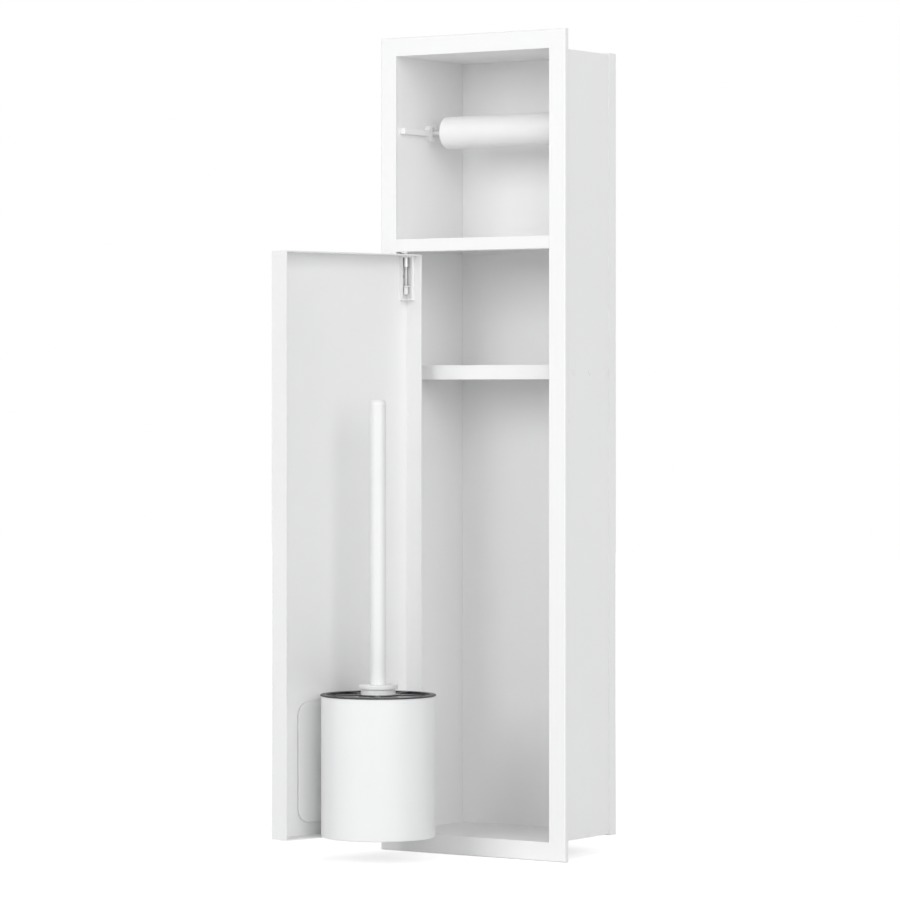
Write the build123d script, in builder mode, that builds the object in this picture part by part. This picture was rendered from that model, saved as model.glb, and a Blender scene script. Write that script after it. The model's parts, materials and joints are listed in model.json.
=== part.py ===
"""Recessed toilet brush cabinet with a paper holder, built from separate sheet metal pieces.

Units are millimetres. +Z is up, +X is to the right of someone facing the cabinet, +Y goes into
the wall. The origin is the middle of the wall cut-out, in the plane of the finished wall.
The door is drawn open, as it stands when the brush is in use.
"""

from build123d import *
import math
import os

os.makedirs("parts", exist_ok=True)

# Cabinet sizes
overall_height = 700.0
frame_width = 188.0
frame_border = 16.0
frame_stand_off = 5.0
cabinet_depth = 100.0
sheet = 1.0
frame_edge_radius = 1.2
back_lap = 11.0
shelf_edge_radius = 0.6

# Shelves
roll_bay_height = 157.5
middle_bay_height = 97.5
shelf_thickness = 11.0
shelf_lip = 15.0
middle_shelf_setback = 24.0
middle_shelf_thickness = 12.5
shelf_rivet_count = 3
rivet_shank_radius = 1.6
rivet_head_radius = 2.8
rivet_head_height = 0.5

# Fixing holes in the side walls
fixing_hole_radius = 2.25
fixing_hole_depth = 27.0
upper_fixing_drop = 35.5
lower_fixing_rise = 34.0

# Door
door_side_gap = 2.0
door_top_gap = 2.5
door_bottom_gap = 3.7
door_depth = 20.0
door_edge_radius = 1.5
pivot_inset = 5.0
pivot_setback = 5.0
open_angle = 104.0

# Clearances
press_gap = 0.02
running_gap = 0.05
sliding_gap = 0.1
loose_gap = 0.3

# Sprung upper hinge pin
pin_radius = 2.1
pin_rod_radius = 0.8
pin_stand_out = 5.0
pin_travel = 3.6
pin_tip_chamfer = 0.6
pin_body_length = 15.5
bracket_sheet = 1.2
bracket_side = 3.9
bracket_reach = 10.8
bracket_low_reach = 3.0
bracket_flange = 3.0
guide_side = 1.9
guide_reach = 6.0
spring_length = 16.0
spring_wire = 0.4
knob_radius = 1.9
knob_length = 6.2
knob_edge_radius = 0.6
web_rivet_radius = 1.6
web_rivet_height = 0.8
lower_rivet_drop = 5.0

# Lower hinge
lower_bracket_height = 22.0
lower_pin_radius = 2.0
pin_head_height = 2.0
pin_head_overhang = 0.5
bush_wall = 1.4
bush_collar = 0.8
bush_depth = 2.0

# Touch latch
latch_width = 12.0
latch_height = 16.0
latch_length = 46.0
latch_travel = 3.5
plunger_radius = 3.5
plunger_length = 24.0
latch_bore_depth = 36.0
magnet_radius = 2.5
magnet_thickness = 2.0
latch_spring_radius = 2.4
latch_spring_wire = 0.5
latch_spring_pocket = 10.0
latch_pocket_spare = 0.5
latch_front_gap = 5.0
plunger_inset = 2.5
plunger_gap = 0.5
screw_radius = 1.5
screw_head_radius = 2.6
screw_head_height = 1.2
screw_setback = 4.5
screw_spread = 5.0

# Paper holder
axle_height_in_bay = 93.5
axle_setback = 51.0
axle_radius = 2.5
axle_end_gap = 1.0
axle_chamfer = 0.5
rail_height = 5.0
rail_thickness = 5.0
rail_front_setback = 6.5
rail_seat_radius = 7.5
roller_radius = 14.0
roller_wall = 1.6
roller_length = 112.0
roller_cap_flange = 2.0
roller_cap_spigot = 6.0
clip_radius = 5.0
clip_thickness = 1.0

# Brush cup
cup_radius = 48.0
cup_height = 119.5
cup_wall = 1.2
cup_floor = 1.5
cup_foot_chamfer = 0.8
cup_from_pivot = 74.0
cup_stand_off = 52.0
liner_gap = 0.5
liner_wall = 1.5
rim_overhang = 0.8
rim_thickness = 1.0
rim_inner_radius = 43.4
rim_skirt_depth = 1.0
rim_edge_radius = 0.4
ledge_width = 1.6
ledge_thickness = 0.9

# Cup holder on the door
pad_thickness = 0.5
pad_inset = 2.0
plate_width = 90.0
plate_height = 102.0
plate_thickness = 1.2
plate_corner = 12.0
plate_above_cup_middle = 1.5
hook_inner = 12.0
hook_outer = 20.0
hook_height = 14.0
hook_sheet = 1.2
hook_above_middle = 8.0
hanger_tab = 0.9
hanger_height = 8.0
saddle_depth = 5.0
saddle_rise = 2.0
cup_lift = 6.0

# Brush
rod_radius = 6.5
rod_wall = 1.0
rod_dome = 5.0
rod_dome_land = 0.4
rod_plug = 10.0
brush_lift = 10.0
shelf_clearance = 1.0
lid_thickness = 0.8
lid_hub_outer = 19.5
lid_spoke_width = 4.5
lid_spoke_count = 5
lid_spoke_turn = 48.0
cap_lower_radius = 14.6
cap_lower_height = 4.8
cap_top_radius = 16.4
cap_top_height = 3.5
cap_edge_radius = 1.0
retainer_height = 2.5
head_radius = 34.0
head_height = 58.0
head_floor_gap = 4.0
core_radius = 6.0
socket_radius = 9.0
socket_depth = 16.0
socket_overlap = 6.0
socket_base = 4.0
stud_radius = 2.5
stud_clearance = 1.0

# Bristles: rings of strands on a sleeve round the core
bristle_rings = 18
bristles_per_ring = 24
bristle_width = 0.9
bristle_sleeve = 1.2
head_foot_round = 14.0
head_top_round = 6.0

# Sizes that follow from the ones above
opening_width = frame_width - 2 * frame_border
opening_height = overall_height - 2 * frame_border
side_x = opening_width / 2
top_z = opening_height / 2
front_y = -frame_stand_off
back_y = cabinet_depth
back_inner_y = back_y - sheet
walls_front_y = front_y + sheet

roll_shelf_top = top_z - roll_bay_height
roll_shelf_bottom = roll_shelf_top - shelf_thickness
middle_shelf_top = roll_shelf_bottom - middle_bay_height
middle_shelf_bottom = middle_shelf_top - middle_shelf_thickness
middle_shelf_front = front_y + middle_shelf_setback

upper_fixing_z = middle_shelf_bottom - upper_fixing_drop
lower_fixing_z = lower_fixing_rise - top_z

door_width = opening_width - 2 * door_side_gap
door_top = roll_shelf_bottom - door_top_gap
door_bottom = -top_z + door_bottom_gap
door_height = door_top - door_bottom
door_middle = (door_top + door_bottom) / 2
pivot_x = -side_x + door_side_gap + pivot_inset
pivot_y = front_y + pivot_setback

# On the door, u runs from the pivot to the free edge and w from the skin towards its inside
hinge_edge_u = -pivot_inset
free_edge_u = door_width - pivot_inset
skin_w = -pivot_setback
skin_inner_w = skin_w + sheet
lip_w = skin_w + door_depth
swing = math.radians(open_angle)
along_door = Vector(math.cos(swing), -math.sin(swing), 0)
into_door = Vector(math.sin(swing), math.cos(swing), 0)
pivot = Vector(pivot_x, pivot_y, 0)


def door_level(height):
    """Horizontal plane at a height, with x along the door from its pivot and y into the door."""
    return Plane(
        origin=pivot + Vector(0, 0, height),
        x_dir=along_door,
        z_dir=(0, 0, 1),
    )


def door_face(along, inward, height):
    """Plane parallel to the door's skin, facing into the door, with y up."""
    return Plane(
        origin=pivot + along_door * along + into_door * inward + Vector(0, 0, height),
        x_dir=along_door * -1,
        z_dir=into_door,
    )


def save(piece, name):
    piece.part.label = name
    export_step(piece.part, f"parts/{name}.step")


# Front frame: a flange on the wall, with a short lip turned back to the wall all round
with BuildPart() as front_frame:
    with BuildSketch(Plane.XZ.offset(frame_stand_off)):
        Rectangle(frame_width, overall_height)
    extrude(amount=-frame_stand_off)
    face_edges = front_frame.faces().sort_by(Axis.Y)[0].edges()
    fillet(face_edges, radius=frame_edge_radius)
    with BuildSketch(Plane.XZ):
        Rectangle(frame_width - 2 * sheet, overall_height - 2 * sheet)
    extrude(amount=frame_stand_off - sheet, mode=Mode.SUBTRACT)
    with BuildSketch(Plane.XZ.offset(frame_stand_off)):
        Rectangle(opening_width, opening_height)
    extrude(amount=-frame_stand_off, mode=Mode.SUBTRACT)
save(front_frame, "front_frame")

# Side walls, with fixing holes and the middle shelf's rivet holes
shelf_depth = back_inner_y - middle_shelf_front
rivet_pitch = shelf_depth / shelf_rivet_count
rivet_z = (middle_shelf_top + middle_shelf_bottom) / 2
rivet_points = [
    (middle_shelf_front + rivet_pitch * (step + 0.5), rivet_z) for step in range(shelf_rivet_count)
]
fixing_y = front_y + fixing_hole_depth
fixing_points = [(fixing_y, lower_fixing_z), (fixing_y, upper_fixing_z)]
for side, wall_name in ((-1, "left_wall"), (1, "right_wall")):
    inner_plane = Plane(origin=(side * side_x, 0, 0), x_dir=(0, 1, 0), z_dir=(1, 0, 0))
    with BuildPart() as wall:
        with BuildSketch(inner_plane):
            with Locations(((walls_front_y + back_inner_y) / 2, 0)):
                Rectangle(back_inner_y - walls_front_y, opening_height + 2 * sheet)
        extrude(amount=side * sheet)
        with BuildSketch(inner_plane):
            with Locations(*fixing_points):
                Circle(fixing_hole_radius)
            with Locations(*rivet_points):
                Circle(rivet_shank_radius + running_gap)
        extrude(amount=side * sheet, mode=Mode.SUBTRACT)
    save(wall, wall_name)

# Top and bottom walls between the side walls; the bottom one holds the lower hinge bush
bush_radius = lower_pin_radius + running_gap + bush_wall
with BuildPart() as top_wall:
    with BuildSketch(Plane.XY.offset(top_z)):
        with Locations((0, (walls_front_y + back_inner_y) / 2)):
            Rectangle(opening_width, back_inner_y - walls_front_y)
    extrude(amount=sheet)
save(top_wall, "top_wall")

with BuildPart() as bottom_wall:
    with BuildSketch(Plane.XY.offset(-top_z - sheet)):
        with Locations((0, (walls_front_y + back_inner_y) / 2)):
            Rectangle(opening_width, back_inner_y - walls_front_y)
        with Locations((pivot_x, pivot_y)):
            Circle(bush_radius + running_gap, mode=Mode.SUBTRACT)
    extrude(amount=sheet)
save(bottom_wall, "bottom_wall")

# Back tray, whose turned edges lap the outside of the four walls
with BuildPart() as back_tray:
    with BuildSketch(Plane.XZ.offset(-back_y)):
        Rectangle(opening_width + 4 * sheet, opening_height + 4 * sheet)
    extrude(amount=back_lap)
    rear_edges = back_tray.faces().sort_by(Axis.Y)[-1].edges()
    fillet(rear_edges, radius=sheet)
    with BuildSketch(Plane.XZ.offset(-back_inner_y)):
        Rectangle(opening_width + 2 * sheet, opening_height + 2 * sheet)
    extrude(amount=back_lap, mode=Mode.SUBTRACT)
save(back_tray, "back_tray")


def shelf_points(front, top, bottom):
    """Section of a folded shelf: top, front apron with a lip below it, and a rear apron."""
    return [
        (front, top),
        (back_inner_y, top),
        (back_inner_y, bottom),
        (back_inner_y - sheet, bottom),
        (back_inner_y - sheet, top - sheet),
        (front + sheet, top - sheet),
        (front + sheet, bottom + sheet),
        (front + shelf_lip, bottom + sheet),
        (front + shelf_lip, bottom),
        (front, bottom),
    ]


upper_bush_radius = pin_radius + running_gap + bush_wall
section_plane = Plane(origin=(-side_x, 0, 0), x_dir=(0, 1, 0), z_dir=(1, 0, 0))

# Roll shelf, flush with the frame, whose lower lip holds the upper hinge bush
with BuildPart() as roll_shelf:
    with BuildSketch(section_plane):
        with BuildLine():
            Polyline(*shelf_points(front_y, roll_shelf_top, roll_shelf_bottom), close=True)
        make_face()
    extrude(amount=opening_width)
    outer_edges = roll_shelf.faces().sort_by(Axis.Y)[0].edges().filter_by(Axis.X)
    fillet(outer_edges, radius=shelf_edge_radius)
    for side in (-1, 1):
        cheek = Plane(origin=(side * side_x, 0, 0), x_dir=(0, 1, 0), z_dir=(1, 0, 0))
        with BuildSketch(cheek):
            with Locations(((front_y + back_inner_y) / 2, roll_shelf_top - shelf_thickness / 2)):
                Rectangle(back_inner_y - front_y - 2 * sheet, shelf_thickness - sheet)
        extrude(amount=-side * sheet)
    with BuildSketch(Plane.XY.offset(roll_shelf_bottom)):
        with Locations((pivot_x, pivot_y)):
            Circle(upper_bush_radius + running_gap)
    extrude(amount=sheet, mode=Mode.SUBTRACT)
save(roll_shelf, "roll_shelf")

# Middle shelf, set back to clear the closed door, with riveted cheeks
middle_points = shelf_points(middle_shelf_front, middle_shelf_top, middle_shelf_bottom)
with BuildPart() as middle_shelf:
    with BuildSketch(section_plane):
        with BuildLine():
            Polyline(*middle_points, close=True)
        make_face()
    extrude(amount=opening_width)
    outer_edges = middle_shelf.faces().sort_by(Axis.Y)[0].edges().filter_by(Axis.X)
    fillet(outer_edges, radius=shelf_edge_radius)
    for side in (-1, 1):
        cheek = Plane(origin=(side * side_x, 0, 0), x_dir=(0, 1, 0), z_dir=(1, 0, 0))
        with BuildSketch(cheek):
            with Locations(((middle_shelf_front + back_inner_y) / 2, rivet_z)):
                Rectangle(back_inner_y - middle_shelf_front - 2 * sheet, middle_shelf_thickness - sheet)
            with Locations(*rivet_points):
                Circle(rivet_shank_radius + running_gap, mode=Mode.SUBTRACT)
        extrude(amount=-side * sheet)
save(middle_shelf, "middle_shelf")

# Rivets through the side walls into the middle shelf's cheeks
with BuildPart() as shelf_rivets:
    for side in (-1, 1):
        outside = Plane(origin=(side * (side_x + sheet), 0, 0), x_dir=(0, 1, 0), z_dir=(1, 0, 0))
        with BuildSketch(outside):
            with Locations(*rivet_points):
                Circle(rivet_head_radius)
        extrude(amount=side * rivet_head_height)
        with BuildSketch(outside):
            with Locations(*rivet_points):
                Circle(rivet_shank_radius)
        extrude(amount=-side * (2 * sheet + rivet_head_height))
        tail = Plane(origin=(side * (side_x - sheet), 0, 0), x_dir=(0, 1, 0), z_dir=(1, 0, 0))
        with BuildSketch(tail):
            with Locations(*rivet_points):
                Circle(rivet_head_radius)
        extrude(amount=-side * rivet_head_height)
save(shelf_rivets, "shelf_rivets")

# Hinge bushes, and the washer that carries the door
upper_collar_bottom = roll_shelf_bottom - bush_collar
with BuildPart() as upper_hinge_bush:
    with BuildSketch(Plane.XY.offset(upper_collar_bottom)):
        with Locations((pivot_x, pivot_y)):
            Circle(upper_bush_radius + bush_collar)
    extrude(amount=bush_collar)
    with BuildSketch(Plane.XY.offset(roll_shelf_bottom)):
        with Locations((pivot_x, pivot_y)):
            Circle(upper_bush_radius)
    extrude(amount=sheet + bush_depth)
    with BuildSketch(Plane.XY.offset(upper_collar_bottom)):
        with Locations((pivot_x, pivot_y)):
            Circle(pin_radius + running_gap)
    extrude(amount=bush_collar + sheet + bush_depth, mode=Mode.SUBTRACT)
save(upper_hinge_bush, "upper_hinge_bush")

washer_height = door_bottom_gap - loose_gap
with BuildPart() as lower_hinge_bush:
    with BuildSketch(Plane.XY.offset(-top_z)):
        with Locations((pivot_x, pivot_y)):
            Circle(bush_radius + bush_wall)
    extrude(amount=washer_height)
    with BuildSketch(Plane.XY.offset(-top_z - sheet - bush_depth)):
        with Locations((pivot_x, pivot_y)):
            Circle(bush_radius)
    extrude(amount=sheet + bush_depth)
    with BuildSketch(Plane.XY.offset(-top_z - sheet - bush_depth)):
        with Locations((pivot_x, pivot_y)):
            Circle(lower_pin_radius + running_gap)
    extrude(amount=sheet + bush_depth + washer_height, mode=Mode.SUBTRACT)
save(lower_hinge_bush, "lower_hinge_bush")

# Door: a shallow folded pan, skin outside, with four returns and holes for the two pins
with BuildPart() as door_shell:
    with BuildSketch(door_level(door_bottom)):
        with Locations(((hinge_edge_u + free_edge_u) / 2, (skin_w + lip_w) / 2)):
            Rectangle(door_width, door_depth)
    extrude(amount=door_height)
    skin_face = door_shell.faces().sort_by(Axis((0, 0, 0), into_door))[0]
    fillet(skin_face.edges(), radius=door_edge_radius)
    with BuildSketch(door_level(door_bottom + sheet)):
        with Locations(((hinge_edge_u + free_edge_u) / 2, (skin_inner_w + lip_w) / 2)):
            Rectangle(door_width - 2 * sheet, door_depth - sheet)
    extrude(amount=door_height - 2 * sheet, mode=Mode.SUBTRACT)
    with BuildSketch(door_level(door_top)):
        Circle(pin_radius + sliding_gap)
    extrude(amount=-sheet, mode=Mode.SUBTRACT)
    with BuildSketch(door_level(door_bottom)):
        Circle(lower_pin_radius + running_gap)
    extrude(amount=sheet, mode=Mode.SUBTRACT)
save(door_shell, "door_shell")

# Upper hinge bracket: a channel on the skin, low at one side, with lips across it at three heights
bracket_top = door_top - sheet
pin_top = door_top + pin_stand_out
pin_shoulder = pin_top - pin_body_length
guide_top = pin_shoulder - spring_length
guide_bottom = guide_top - bracket_sheet
knob_top = guide_bottom - loose_gap
knob_bottom = knob_top - knob_length
stop_bottom = knob_bottom - pin_travel - loose_gap - bracket_sheet
web_w = skin_inner_w + bracket_sheet
bracket_front_w = skin_inner_w + bracket_reach
with BuildPart() as upper_hinge_bracket:
    with BuildSketch(door_level(stop_bottom)):
        with Locations((0, skin_inner_w + bracket_sheet / 2)):
            Rectangle(2 * bracket_side, bracket_sheet)
        with Locations((bracket_side - bracket_sheet / 2, skin_inner_w + bracket_low_reach / 2)):
            Rectangle(bracket_sheet, bracket_low_reach)
        with Locations((bracket_sheet / 2 - bracket_side, skin_inner_w + bracket_reach / 2)):
            Rectangle(bracket_sheet, bracket_reach)
        with Locations((bracket_flange / 2 - bracket_side, bracket_front_w - bracket_sheet / 2)):
            Rectangle(bracket_flange, bracket_sheet)
    extrude(amount=bracket_top - stop_bottom)
    with BuildSketch(door_level(bracket_top)):
        with Locations((0, skin_inner_w + bracket_reach / 2)):
            Rectangle(2 * bracket_side, bracket_reach)
        Circle(pin_radius + sliding_gap, mode=Mode.SUBTRACT)
    extrude(amount=-bracket_sheet)
    with BuildSketch(door_level(guide_bottom)):
        with Locations(((guide_side - bracket_side) / 2, skin_inner_w + guide_reach / 2)):
            Rectangle(guide_side + bracket_side, guide_reach)
        Circle(pin_rod_radius + sliding_gap, mode=Mode.SUBTRACT)
    extrude(amount=bracket_sheet)
    with BuildSketch(door_level(stop_bottom)):
        with Locations((0, skin_inner_w + bracket_reach / 2)):
            Rectangle(2 * bracket_side, bracket_reach)
    extrude(amount=bracket_sheet)
save(upper_hinge_bracket, "upper_hinge_bracket")

# Sprung hinge pin with a thin rod below its shoulder
with BuildPart() as hinge_pin:
    with BuildSketch(door_level(pin_shoulder)):
        Circle(pin_radius)
    extrude(amount=pin_body_length)
    chamfer(hinge_pin.faces().sort_by(Axis.Z)[-1].edges(), length=pin_tip_chamfer)
    with BuildSketch(door_level(knob_bottom)):
        Circle(pin_rod_radius)
    extrude(amount=pin_shoulder - knob_bottom)
save(hinge_pin, "hinge_pin")

# Round finger knob on the pin's rod, below the guide lip
with BuildPart() as pin_knob:
    with BuildSketch(door_level(knob_bottom)):
        Circle(knob_radius)
        Circle(pin_rod_radius + press_gap, mode=Mode.SUBTRACT)
    extrude(amount=knob_length)
    outer_rings = pin_knob.edges().filter_by(GeomType.CIRCLE).sort_by(SortBy.RADIUS)[-2:]
    fillet(outer_rings, radius=knob_edge_radius)
save(pin_knob, "pin_knob")

# Spring between the guide lip and the pin's shoulder, as a plain sleeve
spring_inner = pin_rod_radius + loose_gap
with BuildPart() as pin_spring:
    with BuildSketch(door_level(guide_top)):
        Circle(spring_inner + spring_wire)
        Circle(spring_inner, mode=Mode.SUBTRACT)
    extrude(amount=spring_length)
save(pin_spring, "pin_spring")

# Lower hinge bracket: web, two sides and a foot on the door's bottom return
foot_bottom = door_bottom + sheet
lower_bracket_top = foot_bottom + lower_bracket_height
with BuildPart() as lower_hinge_bracket:
    with BuildSketch(door_level(foot_bottom)):
        with Locations((0, skin_inner_w + bracket_sheet / 2)):
            Rectangle(2 * bracket_side, bracket_sheet)
        for side in (-1, 1):
            with Locations((side * (bracket_side - bracket_sheet / 2), skin_inner_w + bracket_reach / 2)):
                Rectangle(bracket_sheet, bracket_reach)
    extrude(amount=lower_bracket_height)
    with BuildSketch(door_level(foot_bottom)):
        with Locations((0, skin_inner_w + bracket_reach / 2)):
            Rectangle(2 * bracket_side, bracket_reach)
        Circle(lower_pin_radius + press_gap, mode=Mode.SUBTRACT)
    extrude(amount=bracket_sheet)
save(lower_hinge_bracket, "lower_hinge_bracket")

# Fixed lower pin, with a head above the bracket's foot
lower_pin_bottom = -top_z - sheet - bush_depth
with BuildPart() as lower_hinge_pin:
    with BuildSketch(door_level(lower_pin_bottom)):
        Circle(lower_pin_radius)
    extrude(amount=foot_bottom + bracket_sheet - lower_pin_bottom)
    with BuildSketch(door_level(foot_bottom + bracket_sheet)):
        Circle(lower_pin_radius + pin_head_overhang)
    extrude(amount=pin_head_height)
save(lower_hinge_pin, "lower_hinge_pin")

# Rivets that hold the two brackets' webs to studs on the skin
upper_rivet_z = guide_top + spring_length / 2
lower_rivet_z = lower_bracket_top - lower_rivet_drop
with BuildPart() as hinge_rivets:
    for height in (upper_rivet_z, lower_rivet_z):
        with BuildSketch(door_face(0, web_w, height)):
            Circle(web_rivet_radius)
        extrude(amount=web_rivet_height)
save(hinge_rivets, "hinge_rivets")

# Cup holder: a bonded pad and a rounded plate with two upright hooks
cup_bottom = door_bottom + sheet + loose_gap
cup_top = cup_bottom + cup_height
cup_w = skin_inner_w + cup_stand_off
cup_u = cup_from_pivot
plate_z = (cup_bottom + cup_top) / 2 + plate_above_cup_middle
pad_w = skin_inner_w
plate_back_w = pad_w + pad_thickness
plate_front_w = plate_back_w + plate_thickness
with BuildPart() as mounting_pad:
    with BuildSketch(door_face(cup_u, pad_w, plate_z)):
        RectangleRounded(plate_width - 2 * pad_inset, plate_height - 2 * pad_inset, plate_corner - pad_inset)
    extrude(amount=pad_thickness)
save(mounting_pad, "mounting_pad")

hook_leg_w = plate_front_w + hanger_tab + 2 * loose_gap
hook_base_z = plate_z + hook_above_middle
with BuildPart() as cup_plate:
    with BuildSketch(door_face(cup_u, plate_back_w, plate_z)):
        RectangleRounded(plate_width, plate_height, plate_corner)
    extrude(amount=plate_thickness)
    for side in (-1, 1):
        hook_u = cup_u + side * (hook_inner + hook_outer) / 2
        with BuildSketch(door_level(hook_base_z)):
            with Locations((hook_u, (plate_front_w + hook_leg_w + hook_sheet) / 2)):
                Rectangle(hook_outer - hook_inner, hook_leg_w + hook_sheet - plate_front_w)
        extrude(amount=hook_sheet)
        with BuildSketch(door_level(hook_base_z)):
            with Locations((hook_u, hook_leg_w + hook_sheet / 2)):
                Rectangle(hook_outer - hook_inner, hook_sheet)
        extrude(amount=hook_height)
save(cup_plate, "cup_plate")

# Brush cup and what belongs to it
cup_wall_top = cup_top - rim_thickness
with BuildPart() as brush_cup:
    with BuildSketch(door_level(cup_bottom)):
        with Locations((cup_u, cup_w)):
            Circle(cup_radius)
    extrude(amount=cup_wall_top - cup_bottom)
    chamfer(brush_cup.faces().sort_by(Axis.Z)[0].edges(), length=cup_foot_chamfer)
    with BuildSketch(door_level(cup_bottom + cup_floor)):
        with Locations((cup_u, cup_w)):
            Circle(cup_radius - cup_wall)
    extrude(amount=cup_wall_top - cup_bottom, mode=Mode.SUBTRACT)
save(brush_cup, "brush_cup")

liner_radius = cup_radius - cup_wall - liner_gap
liner_inner = liner_radius - liner_wall
liner_bottom = cup_bottom + cup_floor
with BuildPart() as cup_liner:
    with BuildSketch(door_level(liner_bottom)):
        with Locations((cup_u, cup_w)):
            Circle(liner_radius)
    extrude(amount=cup_wall_top - liner_bottom)
    fillet(cup_liner.faces().sort_by(Axis.Z)[0].edges(), radius=liner_wall)
    with BuildSketch(door_level(liner_bottom + liner_wall)):
        with Locations((cup_u, cup_w)):
            Circle(liner_inner)
    extrude(amount=cup_wall_top - liner_bottom, mode=Mode.SUBTRACT)
save(cup_liner, "cup_liner")

# Black rim on the cup's edge, with a skirt inside the liner and a ledge for the lid
rim_radius = cup_radius + rim_overhang
skirt_radius = liner_inner - loose_gap
ledge_top = cup_top - lid_thickness - loose_gap
ledge_radius = rim_inner_radius - ledge_width
with BuildPart() as cup_rim:
    with BuildSketch(door_level(cup_wall_top)):
        with Locations((cup_u, cup_w)):
            Circle(rim_radius)
            Circle(rim_inner_radius, mode=Mode.SUBTRACT)
    extrude(amount=rim_thickness)
    top_ring = cup_rim.faces().sort_by(Axis.Z)[-1]
    fillet(top_ring.edges(), radius=rim_edge_radius)
    with BuildSketch(door_level(cup_wall_top - rim_skirt_depth)):
        with Locations((cup_u, cup_w)):
            Circle(skirt_radius)
            Circle(rim_inner_radius, mode=Mode.SUBTRACT)
    extrude(amount=rim_skirt_depth)
    with BuildSketch(door_level(ledge_top - ledge_thickness)):
        with Locations((cup_u, cup_w)):
            Circle(skirt_radius)
            Circle(ledge_radius, mode=Mode.SUBTRACT)
    extrude(amount=ledge_thickness)
save(cup_rim, "cup_rim")

# Hanger welded to the back of the cup: a saddle with two tabs that drop behind the hooks
tab_w = plate_front_w + loose_gap
saddle_bottom = hook_base_z + hook_height + saddle_rise
tab_bottom = hook_base_z + hook_sheet + loose_gap
with BuildPart() as cup_hanger:
    with BuildSketch(door_level(saddle_bottom)):
        with Locations((cup_u, tab_w + saddle_depth / 2)):
            Rectangle(2 * hook_outer, saddle_depth)
        with Locations((cup_u, cup_w)):
            Circle(cup_radius + running_gap, mode=Mode.SUBTRACT)
    extrude(amount=hanger_height)
    for side in (-1, 1):
        hook_u = cup_u + side * (hook_inner + hook_outer) / 2
        with BuildSketch(door_level(tab_bottom)):
            with Locations((hook_u, tab_w + hanger_tab / 2)):
                Rectangle(hook_outer - hook_inner, hanger_tab)
        extrude(amount=saddle_bottom + hanger_height - tab_bottom)
save(cup_hanger, "cup_hanger")

# Brush rod: a tube from the head's socket to just under the middle shelf
lid_top = cup_top
lid_bottom = lid_top - lid_thickness
head_bottom = liner_bottom + liner_wall + head_floor_gap
head_top = head_bottom + head_height
socket_bottom = head_top - socket_overlap
rod_bottom = socket_bottom + socket_base
rod_top = middle_shelf_bottom - cup_lift - brush_lift - shelf_clearance - rod_dome
with BuildPart() as brush_rod:
    with BuildSketch(door_level(rod_bottom)):
        with Locations((cup_u, cup_w)):
            Circle(rod_radius)
            Circle(rod_radius - rod_wall, mode=Mode.SUBTRACT)
    extrude(amount=rod_top - rod_bottom)
save(brush_rod, "brush_rod")

# Domed plug in the rod's top
with BuildPart() as rod_top_plug:
    with BuildSketch(door_level(rod_top)):
        with Locations((cup_u, cup_w)):
            Circle(rod_radius)
    extrude(amount=rod_dome)
    fillet(rod_top_plug.faces().sort_by(Axis.Z)[-1].edges(), radius=rod_dome - rod_dome_land)
    with BuildSketch(door_level(rod_top)):
        with Locations((cup_u, cup_w)):
            Circle(rod_radius - rod_wall - running_gap)
    extrude(amount=-rod_plug)
save(rod_top_plug, "rod_top_plug")

# Plug in the rod's lower end, with the stud that screws into the brush head
with BuildPart() as rod_lower_plug:
    with BuildSketch(door_level(rod_bottom)):
        with Locations((cup_u, cup_w)):
            Circle(rod_radius - rod_wall - running_gap)
    extrude(amount=rod_plug)
    with BuildSketch(door_level(rod_bottom)):
        with Locations((cup_u, cup_w)):
            Circle(stud_radius)
    extrude(amount=-rod_plug)
save(rod_lower_plug, "rod_lower_plug")

# Thin splash lid: a hub and spokes whose tips rest on the rim's ledge
spoke_reach = rim_inner_radius - loose_gap
hub_inner = cap_lower_radius + running_gap
with BuildPart() as brush_lid:
    with BuildSketch(door_level(lid_bottom)):
        with Locations((cup_u, cup_w)):
            Circle(lid_hub_outer)
            with PolarLocations(spoke_reach / 2, lid_spoke_count, start_angle=lid_spoke_turn):
                Rectangle(spoke_reach, lid_spoke_width)
        with Locations((cup_u, cup_w)):
            Circle(hub_inner, mode=Mode.SUBTRACT)
    extrude(amount=lid_thickness)
    with BuildSketch(door_level(lid_bottom)):
        with Locations((cup_u, cup_w)):
            Circle(rim_radius)
            Circle(spoke_reach, mode=Mode.SUBTRACT)
    extrude(amount=lid_thickness, mode=Mode.SUBTRACT)
save(brush_lid, "brush_lid")

# Two-step collar that carries the lid on the rod, and the ring that holds it from below
cap_step = lid_top + cap_lower_height
cap_top = cap_step + cap_top_height
with BuildPart() as rod_collar:
    with BuildSketch(door_level(lid_bottom - retainer_height)):
        with Locations((cup_u, cup_w)):
            Circle(cap_lower_radius)
    extrude(amount=cap_step - lid_bottom + retainer_height)
    with BuildSketch(door_level(cap_step)):
        with Locations((cup_u, cup_w)):
            Circle(cap_top_radius)
    extrude(amount=cap_top_height)
    fillet(rod_collar.faces().sort_by(Axis.Z)[-1].edges(), radius=cap_edge_radius)
    with BuildSketch(door_level(lid_bottom - retainer_height)):
        with Locations((cup_u, cup_w)):
            Circle(rod_radius + press_gap)
    extrude(amount=cap_top - lid_bottom + retainer_height, mode=Mode.SUBTRACT)
save(rod_collar, "rod_collar")

with BuildPart() as lid_retainer:
    with BuildSketch(door_level(lid_bottom)):
        with Locations((cup_u, cup_w)):
            Circle(cap_top_radius)
            Circle(hub_inner, mode=Mode.SUBTRACT)
    extrude(amount=-retainer_height)
save(lid_retainer, "lid_retainer")

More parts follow.
